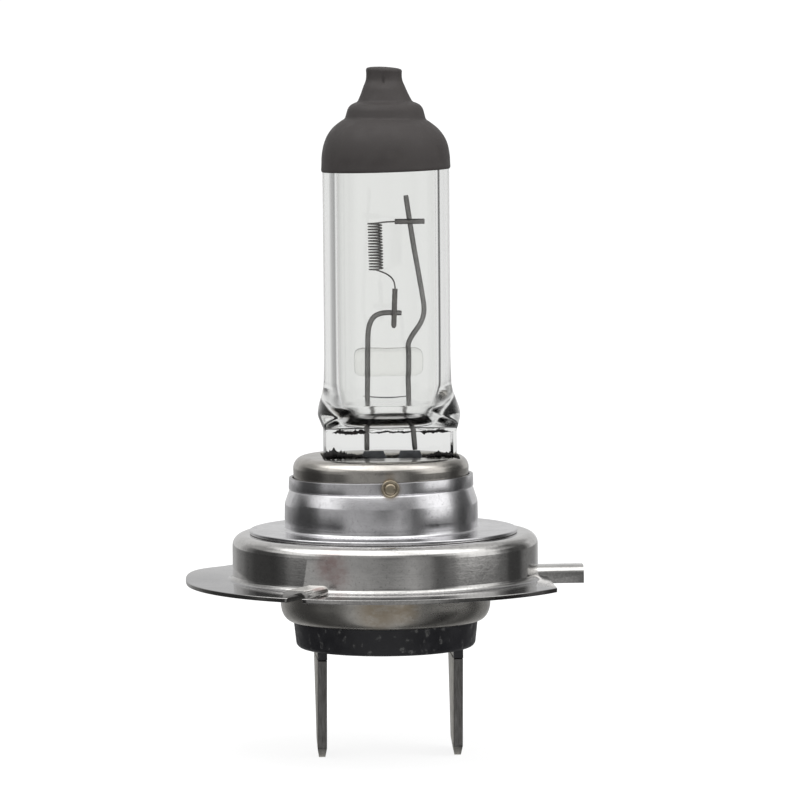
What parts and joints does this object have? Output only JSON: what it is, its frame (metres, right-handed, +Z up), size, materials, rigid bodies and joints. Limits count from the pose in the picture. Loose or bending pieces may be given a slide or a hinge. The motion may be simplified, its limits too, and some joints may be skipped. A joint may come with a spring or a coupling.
{
  "type": "headlight bulb",
  "caption": "Halogen headlight bulb: clear quartz tube with painted tip and axial filament, stepped metal prefocus cap with keyed flange, and push-on terminal blades.",
  "frame": {"origin": "on the cap's axis, at the height of the terminal blades' tips", "axes": "+Z up along the cap's axis from the blades to the glass tip; +X along the key lug; the blades' width runs along Y"},
  "size_m": [0.034, 0.034, 0.0585],
  "materials": {
    "quartz_glass": "clear fused quartz, smooth and faintly grey",
    "antiglare_paint": "matt brown-black heat-resistant paint",
    "tungsten": "drawn tungsten wire, dull grey",
    "molybdenum": "drawn molybdenum wire and foil, satin grey",
    "stamped_steel": "pressed stainless sheet with faint drawing marks",
    "bright_steel": "bright pressed stainless sheet, light scuffs",
    "weld_metal": "resistance-welded spot with a brown heat tint",
    "black_plastic": "black heat-resistant moulding, speckled and scuffed",
    "blade_steel": "plated steel strip, rolled faces and sheared edges"
  },
  "bodies": {
    "root": {"glass_envelope": "quartz_glass", "antiglare_coating": "antiglare_paint", "filament_coil": "tungsten", "upper_filament_sleeve": "tungsten", "lower_filament_sleeve": "tungsten", "long_lead_wire": "molybdenum", "short_lead_wire": "molybdenum", "quartz_bridge": "quartz_glass", "molybdenum_foil_left": "molybdenum", "molybdenum_foil_right": "molybdenum", "outer_lead_left": "molybdenum", "outer_lead_right": "molybdenum", "burner_cup": "bright_steel", "pinch_clamp_front": "bright_steel", "pinch_clamp_back": "bright_steel", "focus_sleeve": "bright_steel", "sleeve_weld_1": "weld_metal", "sleeve_weld_2": "weld_metal", "sleeve_weld_3": "weld_metal", "prefocus_ring": "stamped_steel", "base_shell": "stamped_steel", "insulator": "black_plastic", "terminal_blade_left": "blade_steel", "terminal_blade_right": "blade_steel"}
  },
  "joints": []
}
